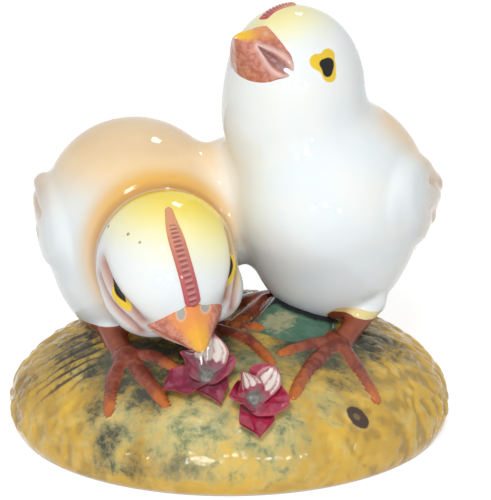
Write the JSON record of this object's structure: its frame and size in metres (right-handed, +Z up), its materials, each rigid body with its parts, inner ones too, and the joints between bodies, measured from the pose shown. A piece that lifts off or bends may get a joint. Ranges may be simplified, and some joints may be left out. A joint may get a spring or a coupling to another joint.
{
  "type": "ceramic chick figurine",
  "caption": "Glazed ceramic figurine of two chicks, one standing and one bending to peck, joined at their sides on an oval grassy mound with small applied flowers.",
  "frame": {"origin": "middle of the flat underside of the oval mound", "axes": "+Z up, +X along the mound's long side towards the standing chick, -Y towards the front that the beaks and flowers face"},
  "size_m": [0.12, 0.0896, 0.1138],
  "materials": {
    "glazed_ceramic": "glossy clear glaze over hand-painted white earthenware"
  },
  "bodies": {
    "root": {"ceramic_chicks": "glazed_ceramic"}
  },
  "joints": []
}
